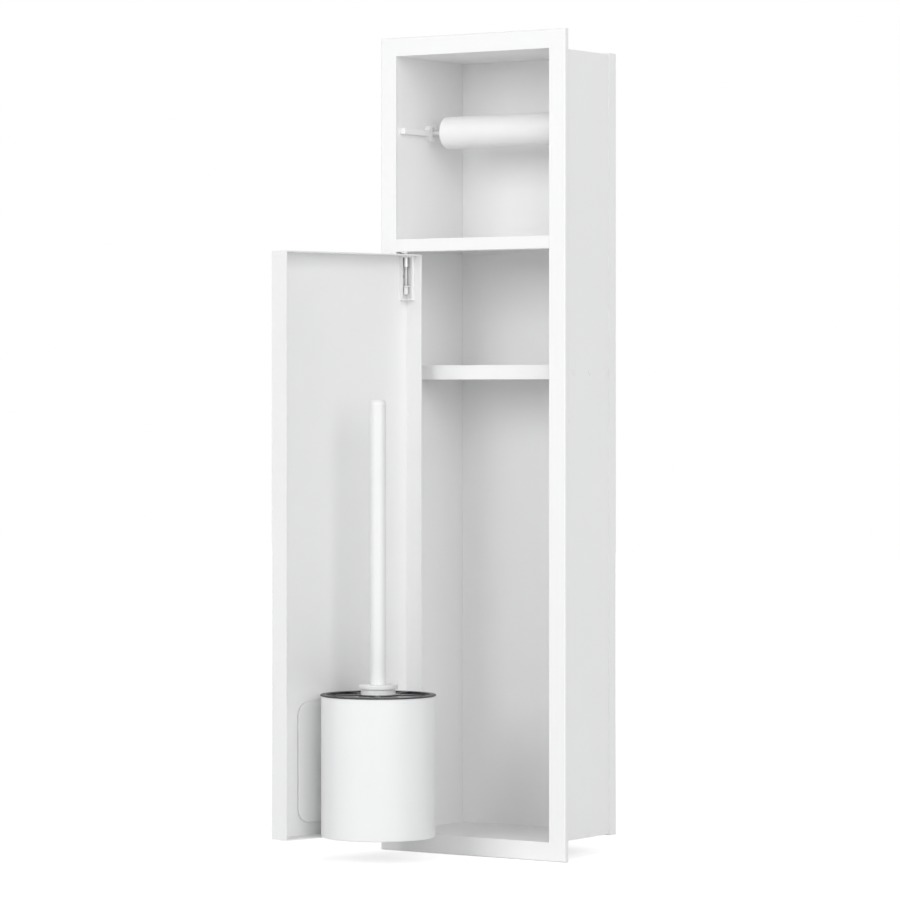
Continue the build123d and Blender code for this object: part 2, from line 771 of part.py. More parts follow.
# Brush head's core, with a socket for the rod and a hole for its stud
with BuildPart() as brush_core:
    with BuildSketch(door_level(head_bottom)):
        with Locations((cup_u, cup_w)):
            Circle(core_radius)
    extrude(amount=socket_bottom - head_bottom)
    with BuildSketch(door_level(socket_bottom)):
        with Locations((cup_u, cup_w)):
            Circle(socket_radius)
    extrude(amount=socket_depth)
    with BuildSketch(door_level(rod_bottom)):
        with Locations((cup_u, cup_w)):
            Circle(rod_radius + running_gap)
    extrude(amount=socket_depth, mode=Mode.SUBTRACT)
    with BuildSketch(door_level(rod_bottom)):
        with Locations((cup_u, cup_w)):
            Circle(stud_radius + running_gap)
    extrude(amount=-rod_plug - stud_clearance, mode=Mode.SUBTRACT)
save(brush_core, "brush_core")

tuft_top = socket_bottom - loose_gap
sleeve_inner = core_radius + running_gap
sleeve_outer = sleeve_inner + bristle_sleeve
bristle_pitch = (tuft_top - head_bottom) / bristle_rings


def head_reach(height):
    """Radius of the rounded brush head at a height: each end is a quarter circle."""
    above_foot = min(height - head_bottom, head_foot_round)
    below_top = min(tuft_top - height, head_top_round)
    foot_loss = head_foot_round - math.sqrt(head_foot_round**2 - (head_foot_round - above_foot) ** 2)
    top_loss = head_top_round - math.sqrt(head_top_round**2 - (head_top_round - below_top) ** 2)
    return head_radius - foot_loss - top_loss


# Bristles: straight four-sided strands, each ring turned half a step from the one below it
with BuildPart() as brush_bristles:
    bristle_sets = []
    for ring in range(bristle_rings):
        ring_z = head_bottom + bristle_pitch * (ring + 0.5)
        reach = head_reach(ring_z)
        strand_length = reach - sleeve_inner - bristle_sleeve / 2
        first_angle = ring * 180 / bristles_per_ring
        with BuildSketch(door_level(ring_z - bristle_width / 2)):
            with Locations((cup_u, cup_w)):
                with PolarLocations(reach - strand_length / 2, bristles_per_ring, start_angle=first_angle):
                    Rectangle(strand_length, bristle_width)
        bristle_sets.append(extrude(amount=bristle_width, mode=Mode.PRIVATE))
    with BuildSketch(door_level(head_bottom)):
        with Locations((cup_u, cup_w)):
            Circle(sleeve_outer)
            Circle(sleeve_inner, mode=Mode.SUBTRACT)
    extrude(amount=tuft_top - head_bottom)
    add(bristle_sets)
save(brush_bristles, "brush_bristles")

# Paper holder rails: a bar back along each side wall to a notched seat for the axle
axle_z = roll_shelf_top + axle_height_in_bay
axle_y = front_y + axle_setback
rail_front = front_y + rail_front_setback
for side, rail_name in ((-1, "left_roll_rail"), (1, "right_roll_rail")):
    rail_plane = Plane(origin=(side * side_x, 0, 0), x_dir=(0, 1, 0), z_dir=(1, 0, 0))
    with BuildPart() as rail:
        with BuildSketch(rail_plane):
            with Locations(((rail_front + axle_y) / 2, axle_z)):
                Rectangle(axle_y - rail_front, rail_height)
            with Locations((axle_y, axle_z)):
                Circle(rail_seat_radius)
            with Locations((axle_y, axle_z + rail_seat_radius / 2)):
                Rectangle(2 * (axle_radius + running_gap), rail_seat_radius, mode=Mode.SUBTRACT)
            with Locations((axle_y, axle_z)):
                Circle(axle_radius + running_gap, mode=Mode.SUBTRACT)
        extrude(amount=-side * rail_thickness)
    save(rail, rail_name)

# Axle, with clips that keep the roller in the middle
axle_length = opening_width - 2 * axle_end_gap
clip_x = roller_length / 2 + roller_cap_flange + loose_gap
with BuildPart() as roll_axle:
    with BuildSketch(Plane.YZ.offset(-axle_length / 2)):
        with Locations((axle_y, axle_z)):
            Circle(axle_radius)
    extrude(amount=axle_length)
    end_edges = roll_axle.edges().filter_by(GeomType.CIRCLE)
    chamfer(end_edges, length=axle_chamfer)
save(roll_axle, "roll_axle")

with BuildPart() as axle_clips:
    for start, way in ((clip_x, 1), (-clip_x, -1)):
        with BuildSketch(Plane.YZ.offset(start)):
            with Locations((axle_y, axle_z)):
                Circle(clip_radius)
                Circle(axle_radius + press_gap, mode=Mode.SUBTRACT)
        extrude(amount=way * clip_thickness)
save(axle_clips, "axle_clips")

# Roller: a tube with an end cap at each side that turns on the axle
with BuildPart() as roller_tube:
    with BuildSketch(Plane.YZ.offset(-roller_length / 2)):
        with Locations((axle_y, axle_z)):
            Circle(roller_radius)
            Circle(roller_radius - roller_wall, mode=Mode.SUBTRACT)
    extrude(amount=roller_length)
save(roller_tube, "roller_tube")

for side, cap_name in ((-1, "left_roller_cap"), (1, "right_roller_cap")):
    with BuildPart() as roller_cap:
        with BuildSketch(Plane.YZ.offset(side * roller_length / 2)):
            with Locations((axle_y, axle_z)):
                Circle(roller_radius)
        extrude(amount=side * roller_cap_flange)
        with BuildSketch(Plane.YZ.offset(side * roller_length / 2)):
            with Locations((axle_y, axle_z)):
                Circle(roller_radius - roller_wall - running_gap)
        extrude(amount=-side * roller_cap_spigot)
        with BuildSketch(Plane.YZ.offset(side * (roller_length / 2 + roller_cap_flange))):
            with Locations((axle_y, axle_z)):
                Circle(axle_radius + running_gap)
        extrude(amount=-side * (roller_cap_flange + roller_cap_spigot), mode=Mode.SUBTRACT)
    save(roller_cap, cap_name)

# Touch latch on the right wall, hidden behind the frame, facing the door's free edge
latch_front = front_y + door_depth + latch_front_gap
latch_back = latch_front + latch_length
latch_z = door_middle
plunger_x = side_x - door_side_gap - plunger_inset
plunger_tip = front_y + door_depth + plunger_gap
bore_end = latch_front + latch_bore_depth
screw_y = latch_back - screw_setback
screw_points = [(screw_y, latch_z - screw_spread), (screw_y, latch_z + screw_spread)]
latch_inner_x = side_x - latch_width
with BuildPart() as latch_housing:
    with BuildSketch(Plane.YZ.offset(latch_inner_x)):
        with Locations(((latch_front + latch_back) / 2, latch_z)):
            Rectangle(latch_length, latch_height)
    extrude(amount=latch_width)
    with BuildSketch(Plane.XZ.offset(-latch_front)):
        with Locations((plunger_x, latch_z)):
            Circle(plunger_radius + sliding_gap)
    extrude(amount=-latch_bore_depth, mode=Mode.SUBTRACT)
    with BuildSketch(Plane.YZ.offset(latch_inner_x)):
        with Locations(*screw_points):
            Circle(screw_radius + press_gap)
    extrude(amount=latch_width, mode=Mode.SUBTRACT)
save(latch_housing, "latch_housing")

# Plunger, hollow at the rear for its spring and recessed at the tip for the magnet
plunger_back = plunger_tip + plunger_length
spring_front = plunger_back - latch_spring_pocket
with BuildPart() as latch_plunger:
    with BuildSketch(Plane.XZ.offset(-plunger_tip)):
        with Locations((plunger_x, latch_z)):
            Circle(plunger_radius)
            Circle(magnet_radius + press_gap, mode=Mode.SUBTRACT)
    extrude(amount=-magnet_thickness)
    with BuildSketch(Plane.XZ.offset(-plunger_tip - magnet_thickness)):
        with Locations((plunger_x, latch_z)):
            Circle(plunger_radius)
    extrude(amount=-(plunger_length - magnet_thickness))
    with BuildSketch(Plane.XZ.offset(-plunger_back)):
        with Locations((plunger_x, latch_z)):
            Circle(latch_spring_radius + sliding_gap)
    extrude(amount=latch_spring_pocket + latch_travel + latch_pocket_spare, mode=Mode.SUBTRACT)
save(latch_plunger, "latch_plunger")

with BuildPart() as latch_magnet:
    with BuildSketch(Plane.XZ.offset(-plunger_tip)):
        with Locations((plunger_x, latch_z)):
            Circle(magnet_radius)
    extrude(amount=-magnet_thickness)
save(latch_magnet, "latch_magnet")

with BuildPart() as latch_spring:
    with BuildSketch(Plane.XZ.offset(-spring_front)):
        with Locations((plunger_x, latch_z)):
            Circle(latch_spring_radius)
            Circle(latch_spring_radius - latch_spring_wire, mode=Mode.SUBTRACT)
    extrude(amount=-(bore_end - spring_front))
save(latch_spring, "latch_spring")

# Screws through the latch housing into the right wall
with BuildPart() as latch_screws:
    with BuildSketch(Plane.YZ.offset(latch_inner_x)):
        with Locations(*screw_points):
            Circle(screw_radius)
    extrude(amount=latch_width)
    with BuildSketch(Plane.YZ.offset(latch_inner_x)):
        with Locations(*screw_points):
            Circle(screw_head_radius)
    extrude(amount=-screw_head_height)
save(latch_screws, "latch_screws")
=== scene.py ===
"""Looks of the recessed toilet brush cabinet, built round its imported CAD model.

Sizes are in metres, in the CAD's own frame: X to the right, Y into the wall, Z up. The origin is
the middle of the wall cut-out. The cabinet stands with its door open, as the photograph shows it.
"""

import json
import math

import bmesh
import bpy
import numpy as np
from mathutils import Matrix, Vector


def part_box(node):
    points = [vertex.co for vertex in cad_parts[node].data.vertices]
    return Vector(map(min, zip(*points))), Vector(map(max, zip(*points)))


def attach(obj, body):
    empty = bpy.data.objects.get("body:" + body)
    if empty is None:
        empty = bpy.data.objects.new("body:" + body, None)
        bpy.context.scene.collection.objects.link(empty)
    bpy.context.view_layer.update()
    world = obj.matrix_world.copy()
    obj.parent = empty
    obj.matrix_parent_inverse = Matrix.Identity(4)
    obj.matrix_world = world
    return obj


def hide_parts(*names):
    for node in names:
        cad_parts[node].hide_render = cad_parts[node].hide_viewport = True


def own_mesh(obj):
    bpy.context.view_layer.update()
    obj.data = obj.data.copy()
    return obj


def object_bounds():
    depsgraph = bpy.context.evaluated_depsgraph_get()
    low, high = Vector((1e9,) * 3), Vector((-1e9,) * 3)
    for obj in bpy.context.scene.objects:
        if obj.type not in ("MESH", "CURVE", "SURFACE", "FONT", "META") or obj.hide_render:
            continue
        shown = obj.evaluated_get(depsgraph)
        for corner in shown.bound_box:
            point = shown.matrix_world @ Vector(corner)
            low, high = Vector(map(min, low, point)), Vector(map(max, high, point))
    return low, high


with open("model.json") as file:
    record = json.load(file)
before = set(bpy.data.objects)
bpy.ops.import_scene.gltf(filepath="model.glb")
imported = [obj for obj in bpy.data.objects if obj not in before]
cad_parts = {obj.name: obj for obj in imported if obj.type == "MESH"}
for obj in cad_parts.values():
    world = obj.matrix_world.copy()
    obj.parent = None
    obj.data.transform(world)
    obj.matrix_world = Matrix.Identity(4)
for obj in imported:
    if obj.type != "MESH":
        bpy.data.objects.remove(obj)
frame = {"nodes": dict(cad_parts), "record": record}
cad_low, cad_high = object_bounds()

millimetre = 0.001
micrometre = 0.000001
full_turn = 2 * math.pi


# Camera, level, at the photograph's viewing angle, with its lens and sensor in millimetres
camera_place = (1.9579, -2.9666, 0.0395)
camera_turn = math.radians(33.765)
camera_level = math.radians(90)
camera_lens = 166.84
camera_sensor = 36.0
camera_drop = -0.0575
camera_far = 50.0

lens = bpy.data.cameras.new("cabinet_view")
lens.lens = camera_lens
lens.sensor_width = camera_sensor
lens.shift_y = camera_drop
lens.clip_end = camera_far
camera = bpy.data.objects.new("cabinet_view", lens)
camera.location = camera_place
camera.rotation_euler = (camera_level, 0, camera_turn)
bpy.context.scene.collection.objects.link(camera)
bpy.context.scene.camera = camera
bpy.context.scene.view_settings.view_transform = "Standard"


# Places of a Mix node's sockets, for values and for colours
mix_factor = 0
value_first, value_second, value_result = 2, 3, 0
colour_first, colour_second, colour_result = 6, 7, 2


# Node groups that the finishes share
def node_group(name, inputs, outputs):
    """Empty shader group with named inputs and outputs, and its two end nodes."""
    group = bpy.data.node_groups.new(name, "ShaderNodeTree")
    for label, kind, value in inputs:
        socket = group.interface.new_socket(label, in_out="INPUT", socket_type=kind)
        socket.default_value = value
    for label, kind in outputs:
        group.interface.new_socket(label, in_out="OUTPUT", socket_type=kind)
    start = group.nodes.new("NodeGroupInput")
    end = group.nodes.new("NodeGroupOutput")
    return group, start, end


def noise_on(group, place, scale_from, detail):
    """Noise texture on a place, with its scale read from a socket."""
    noise = group.nodes.new("ShaderNodeTexNoise")
    noise.inputs["Detail"].default_value = detail
    group.links.new(place, noise.inputs["Vector"])
    group.links.new(scale_from, noise.inputs["Scale"])
    return noise


def build_tone_drift():
    """Colour that drifts between two tones in broad soft patches, as a coat's thickness does."""
    group, start, end = node_group(
        "tone_drift",
        [
            ("Light Tone", "NodeSocketColor", (0.9, 0.9, 0.9, 1)),
            ("Deep Tone", "NodeSocketColor", (0.85, 0.85, 0.85, 1)),
            ("Patch Scale", "NodeSocketFloat", 6.0),
        ],
        [("Color", "NodeSocketColor")],
    )
    noise_span = (0.3, 0.7)
    place = group.nodes.new("ShaderNodeTexCoord")
    noise = noise_on(group, place.outputs["Object"], start.outputs["Patch Scale"], detail=3.0)
    spread = group.nodes.new("ShaderNodeMapRange")
    spread.inputs["From Min"].default_value, spread.inputs["From Max"].default_value = noise_span
    mix = group.nodes.new("ShaderNodeMix")
    mix.data_type = "RGBA"
    group.links.new(noise.outputs["Fac"], spread.inputs["Value"])
    group.links.new(spread.outputs["Result"], mix.inputs[mix_factor])
    group.links.new(start.outputs["Light Tone"], mix.inputs[colour_first])
    group.links.new(start.outputs["Deep Tone"], mix.inputs[colour_second])
    group.links.new(mix.outputs[colour_result], end.inputs["Color"])
    return group


def build_sheen_drift():
    """Roughness that drifts between two values, finely broken up."""
    group, start, end = node_group(
        "sheen_drift",
        [
            ("Smoothest", "NodeSocketFloat", 0.35),
            ("Roughest", "NodeSocketFloat", 0.45),
            ("Patch Scale", "NodeSocketFloat", 30.0),
        ],
        [("Roughness", "NodeSocketFloat")],
    )
    noise_span = (0.25, 0.75)
    place = group.nodes.new("ShaderNodeTexCoord")
    noise = noise_on(group, place.outputs["Object"], start.outputs["Patch Scale"], detail=5.0)
    spread = group.nodes.new("ShaderNodeMapRange")
    spread.inputs["From Min"].default_value, spread.inputs["From Max"].default_value = noise_span
    group.links.new(noise.outputs["Fac"], spread.inputs["Value"])
    group.links.new(start.outputs["Smoothest"], spread.inputs["To Min"])
    group.links.new(start.outputs["Roughest"], spread.inputs["To Max"])
    group.links.new(spread.outputs["Result"], end.inputs["Roughness"])
    return group


def build_fine_relief():
    """Height of a coat's orange peel: a fine ripple with a broader one under it."""
    group, start, end = node_group(
        "fine_relief",
        [("Grain Scale", "NodeSocketFloat", 900.0), ("Broad Share", "NodeSocketFloat", 0.35)],
        [("Height", "NodeSocketFloat")],
    )
    broad_to_fine = 0.25
    place = group.nodes.new("ShaderNodeTexCoord")
    fine = noise_on(group, place.outputs["Object"], start.outputs["Grain Scale"], detail=2.0)
    coarser = group.nodes.new("ShaderNodeMath")
    coarser.operation = "MULTIPLY"
    coarser.inputs[1].default_value = broad_to_fine
    group.links.new(start.outputs["Grain Scale"], coarser.inputs[0])
    broad = noise_on(group, place.outputs["Object"], coarser.outputs[0], detail=1.0)
    mix = group.nodes.new("ShaderNodeMix")
    group.links.new(start.outputs["Broad Share"], mix.inputs[mix_factor])
    group.links.new(fine.outputs["Fac"], mix.inputs[value_first])
    group.links.new(broad.outputs["Fac"], mix.inputs[value_second])
    group.links.new(mix.outputs[value_result], end.inputs["Height"])
    return group


def build_drawn_lines():
    """Height of fine lines left by rolling or drawing metal: noise stretched along Z."""
    group, start, end = node_group(
        "drawn_lines",
        [("Line Scale", "NodeSocketFloat", 2500.0)],
        [("Height", "NodeSocketFloat")],
    )
    scale_along_line = 0.04
    place = group.nodes.new("ShaderNodeTexCoord")
    stretch = group.nodes.new("ShaderNodeMapping")
    stretch.inputs["Scale"].default_value = (1.0, 1.0, scale_along_line)
    group.links.new(place.outputs["Object"], stretch.inputs["Vector"])
    noise = noise_on(group, stretch.outputs["Vector"], start.outputs["Line Scale"], detail=2.0)
    group.links.new(noise.outputs["Fac"], end.inputs["Height"])
    return group


def build_foam_cells():
    """Height of small cells, lowest in their middles and highest at their walls."""
    group, start, end = node_group(
        "foam_cells",
        [("Cell Scale", "NodeSocketFloat", 1200.0)],
        [("Height", "NodeSocketFloat")],
    )
    place = group.nodes.new("ShaderNodeTexCoord")
    cells = group.nodes.new("ShaderNodeTexVoronoi")
    group.links.new(place.outputs["Object"], cells.inputs["Vector"])
    group.links.new(start.outputs["Cell Scale"], cells.inputs["Scale"])
    group.links.new(cells.outputs["Distance"], end.inputs["Height"])
    return group


def build_soft_edge():
    """Normal that rolls over sharp edges within a radius, and a mask that is 1 on those edges.
    The mask grows as the dot product of the rolled and the plain normal falls from 1."""
    group, start, end = node_group(
        "soft_edge",
        [("Radius", "NodeSocketFloat", 0.0005)],
        [("Normal", "NodeSocketVector"), ("Edge", "NodeSocketFloat")],
    )
    flat, fully_rolled = 1.0, 0.85
    edge_samples = 6
    bevel = group.nodes.new("ShaderNodeBevel")
    bevel.samples = edge_samples
    shape = group.nodes.new("ShaderNodeNewGeometry")
    along = group.nodes.new("ShaderNodeVectorMath")
    along.operation = "DOT_PRODUCT"
    mask = group.nodes.new("ShaderNodeMapRange")
    mask.inputs["From Min"].default_value = flat
    mask.inputs["From Max"].default_value = fully_rolled
    group.links.new(start.outputs["Radius"], bevel.inputs["Radius"])
    group.links.new(bevel.outputs["Normal"], along.inputs[0])
    group.links.new(shape.outputs["Normal"], along.inputs[1])
    group.links.new(along.outputs["Value"], mask.inputs["Value"])
    group.links.new(bevel.outputs["Normal"], end.inputs["Normal"])
    group.links.new(mask.outputs["Result"], end.inputs["Edge"])
    return group


tone_drift = build_tone_drift()
sheen_drift = build_sheen_drift()
fine_relief = build_fine_relief()
drawn_lines = build_drawn_lines()
foam_cells = build_foam_cells()
soft_edge = build_soft_edge()


# Finishes, whose scales count features in a metre
def place_group(tree, group, **values):
    """A group's node in a material, with its inputs set by name."""
    node = tree.nodes.new("ShaderNodeGroup")
    node.node_tree = group
    for label, value in values.items():
        node.inputs[label.replace("_", " ")].default_value = value
    return node


def finish(name, light, deep, smoothest, roughest, relief, relief_depth, patch_scale=6.0,
           edge_radius=None, edge_highlight_tone=None, **constants):
    """Principled material: drifting tone and sheen, a relief group's bump, and rolled edges,
    which take a lighter tone where one is given: a painted highlight along the edges."""
    material = bpy.data.materials.new(name)
    material.use_nodes = True
    tree = material.node_tree
    shader = tree.nodes["Principled BSDF"]
    for label, value in constants.items():
        shader.inputs[label.replace("_", " ")].default_value = value
    tone = place_group(
        tree, tone_drift, Light_Tone=(*light, 1), Deep_Tone=(*deep, 1), Patch_Scale=patch_scale)
    sheen = place_group(tree, sheen_drift, Smoothest=smoothest, Roughest=roughest)
    bump = tree.nodes.new("ShaderNodeBump")
    bump.inputs["Distance"].default_value = relief_depth
    tree.links.new(relief(tree).outputs["Height"], bump.inputs["Height"])
    tree.links.new(bump.outputs["Normal"], shader.inputs["Normal"])
    tree.links.new(sheen.outputs["Roughness"], shader.inputs["Roughness"])
    colour = tone.outputs["Color"]
    if edge_radius:
        edge = place_group(tree, soft_edge, Radius=edge_radius)
        tree.links.new(edge.outputs["Normal"], bump.inputs["Normal"])
        # The edge mask mixes in the given edge tone: a painted highlight along the rolled edges.
        if edge_highlight_tone:
            edge_highlight = tree.nodes.new("ShaderNodeMix")
            edge_highlight.data_type = "RGBA"
            edge_highlight.inputs[colour_second].default_value = (*edge_highlight_tone, 1)
            tree.links.new(edge.outputs["Edge"], edge_highlight.inputs[mix_factor])
            tree.links.new(colour, edge_highlight.inputs[colour_first])
            colour = edge_highlight.outputs[colour_result]
    tree.links.new(colour, shader.inputs["Base Color"])
    return material


def peel(scale, broad=0.35):
    """Orange peel relief at a scale."""
    return lambda tree: place_group(tree, fine_relief, Grain_Scale=scale, Broad_Share=broad)


def lines(scale):
    """Drawn metal relief at a scale."""
    return lambda tree: place_group(tree, drawn_lines, Line_Scale=scale)


def cells(scale):
    """Foam relief at a scale."""
    return lambda tree: place_group(tree, foam_cells, Cell_Scale=scale)


finishes = {
    # The edge tones of white_coat, black_plastic and zinc_steel are painted highlights along their
    # rolled edges.
    "white_coat": finish(
        "powder_coat_white",
        light=(0.900, 0.902, 0.899), deep=(0.883, 0.885, 0.882), smoothest=0.40, roughest=0.50,
        relief=peel(1100.0), relief_depth=12 * micrometre,
        edge_radius=0.6 * millimetre, edge_highlight_tone=(0.915, 0.917, 0.914)),
    "cup_coat": finish(
        "satin_coat_white",
        light=(0.855, 0.858, 0.861), deep=(0.840, 0.843, 0.846), smoothest=0.30, roughest=0.38,
        relief=peel(700.0, broad=0.5), relief_depth=8 * micrometre, patch_scale=12.0,
        edge_radius=0.4 * millimetre),
    "white_plastic": finish(
        "moulded_white",
        light=(0.872, 0.873, 0.870), deep=(0.852, 0.853, 0.850), smoothest=0.38, roughest=0.48,
        relief=peel(2600.0, broad=0.2), relief_depth=6 * micrometre, patch_scale=25.0,
        edge_radius=0.3 * millimetre),
    "black_plastic": finish(
        "moulded_black",
        light=(0.014, 0.014, 0.015), deep=(0.022, 0.022, 0.024), smoothest=0.30, roughest=0.44,
        relief=peel(3000.0, broad=0.2), relief_depth=8 * micrometre, patch_scale=40.0,
        edge_radius=0.3 * millimetre, edge_highlight_tone=(0.05, 0.05, 0.053)),
    "white_bristle": finish(
        "nylon_bristle",
        light=(0.86, 0.855, 0.84), deep=(0.78, 0.775, 0.755), smoothest=0.35, roughest=0.5,
        relief=lines(3000.0), relief_depth=4 * micrometre, patch_scale=180.0),
    "zinc_steel": finish(
        "zinc_plate",
        light=(0.74, 0.743, 0.747), deep=(0.66, 0.664, 0.67), smoothest=0.40, roughest=0.54,
        relief=lines(2200.0), relief_depth=6 * micrometre, patch_scale=90.0,
        edge_radius=0.2 * millimetre, edge_highlight_tone=(0.80, 0.80, 0.80), Metallic=1.0),
    "magnet": finish(
        "nickel_magnet",
        light=(0.58, 0.57, 0.55), deep=(0.50, 0.49, 0.47), smoothest=0.16, roughest=0.28,
        relief=peel(1800.0), relief_depth=4 * micrometre, patch_scale=200.0,
        edge_radius=0.2 * millimetre, Metallic=1.0),
    "foam": finish(
        "foam_pad",
        light=(0.80, 0.79, 0.765), deep=(0.70, 0.69, 0.665), smoothest=0.85, roughest=0.95,
        relief=cells(1500.0), relief_depth=200 * micrometre, patch_scale=60.0),
}

record = frame["record"]
slot_of = {part["node"]: part["material_slot"] for part in record["subparts"]}


def dress(piece, slot_name):
    """Puts a slot's finish on a piece."""
    piece.data.materials.clear()
    piece.data.materials.append(finishes[slot_name])


for node_name, node in frame["nodes"].items():
    dress(node, slot_of[node_name])


# Shapes worked out as whole arrays
same_point = 0.1 * micrometre


def softened(corners, radius, steps=5):
    """Closed outline with rounded corners. Each corner gives way to the curve
    (1 - t)^2 before + 2 t (1 - t) corner + t^2 after, whose ends lie radius from it along its
    sides, with one more point beyond each end so that the flats between stay flat."""
    longest_cut = 0.4
    past_cut = 1.2
    corners = np.array(corners, float)
    back = np.roll(corners, 1, axis=0) - corners
    onward = np.roll(corners, -1, axis=0) - corners
    back_length = np.linalg.norm(back, axis=1, keepdims=True)
    onward_length = np.linalg.norm(onward, axis=1, keepdims=True)
    cut = np.minimum(radius, longest_cut * np.minimum(back_length, onward_length))
    before = corners + back / back_length * cut
    after = corners + onward / onward_length * cut
    far_before = corners + back / back_length * cut * past_cut
    far_after = corners + onward / onward_length * cut * past_cut
    t = np.linspace(0, 1, steps)[None, :, None]
    bend = (1 - t) ** 2 * before[:, None] + 2 * t * (1 - t) * corners[:, None] + t**2 * after[:, None]
    return np.concatenate([far_before[:, None], bend, far_after[:, None]], axis=1).reshape(-1, 2)


def make_piece(name, places, faces, body, slot_name, *stands_for):
    """Mesh piece from places and faces, with doubles merged and faces turned outwards."""
    mesh = bpy.data.meshes.new(name)
    mesh.from_pydata(places.reshape(-1, 3).tolist(), [], faces.tolist())
    tidy = bmesh.new()
    tidy.from_mesh(mesh)
    bmesh.ops.remove_doubles(tidy, verts=tidy.verts, dist=same_point)
    bmesh.ops.recalc_face_normals(tidy, faces=tidy.faces)
    tidy.to_mesh(mesh)
    tidy.free()
    mesh.shade_smooth()
    piece = bpy.data.objects.new(name, mesh)
    bpy.context.scene.collection.objects.link(piece)
    dress(piece, slot_name)
    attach(piece, body)
    if stands_for:
        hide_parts(*stands_for)
    return piece


def grid_faces(rows, columns, wrap_rows):
    """Four-sided faces of a grid whose columns close on themselves, and its rows too if asked."""
    row = np.arange(rows if wrap_rows else rows - 1)[:, None]
    column = np.arange(columns)[None, :]
    next_row = (row + 1) % rows
    next_column = (column + 1) % columns
    corners = [
        row * columns + column,
        row * columns + next_column,
        next_row * columns + next_column,
        next_row * columns + column,
    ]
    return np.stack(np.broadcast_arrays(*corners), axis=-1).reshape(-1, 4)


def turned(name, outline, centre, body, slot_name, *stands_for, sides):
    """Round piece: a closed outline of (radius, height) carried once round an upright axis. A
    place is centre + radius (cos a, sin a) across the axis + height along it."""
    turn = np.linspace(0, full_turn, sides, endpoint=False)
    first = outline[:, :1] * np.cos(turn)
    second = outline[:, :1] * np.sin(turn)
    height = np.broadcast_to(outline[:, 1:], first.shape)
    places = np.stack([first, second, height], axis=-1) + np.array(centre, float)
    faces = grid_faces(len(outline), sides, wrap_rows=True)
    make_piece(name, places, faces, body, slot_name, *stands_for)


def round_node(node_name):
    """Middle, half width, foot and top of an upright round CAD node."""
    low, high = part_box(node_name)
    return (low.x + high.x) / 2, (low.y + high.y) / 2, (high.x - low.x) / 2, low.z, high.z


# Brush cup: a drawn shell with a rolled foot, whose floor closes at its poles
cup_x, cup_y, cup_radius, cup_foot, cup_edge = round_node("brush_cup")
cup_wall = 1.2 * millimetre
cup_floor = 1.5 * millimetre
cup_edge_roll = 1.0 * millimetre
cup_pole = 2.0 * millimetre
cup_outline = softened(
    [
        (cup_radius, cup_foot),
        (cup_radius, cup_edge),
        (cup_radius - cup_wall, cup_edge),
        (cup_radius - cup_wall, cup_foot + cup_floor),
        (0, cup_foot + cup_floor),
        (0, cup_foot),
    ],
    cup_edge_roll,
)
cup_outline[:, 0] = np.where(cup_outline[:, 0] < cup_pole, 0, cup_outline[:, 0])
turned("cup_shell", cup_outline, (cup_x, cup_y, 0), "cup", "cup_coat", "brush_cup", sides=160)


# Brush rod: a tube under its domed plug
rod_x, rod_y, rod_radius, rod_foot, rod_end = round_node("brush_rod")
rod_wall = 1.0 * millimetre
rod_edge_roll = 0.15 * millimetre
rod_outline = softened(
    [
        (rod_radius, rod_foot),
        (rod_radius, rod_end),
        (rod_radius - rod_wall, rod_end),
        (rod_radius - rod_wall, rod_foot),
    ],
    rod_edge_roll,
    steps=3,
)
turned("rod_tube", rod_outline, (rod_x, rod_y, 0), "brush", "cup_coat", "brush_rod", sides=64)


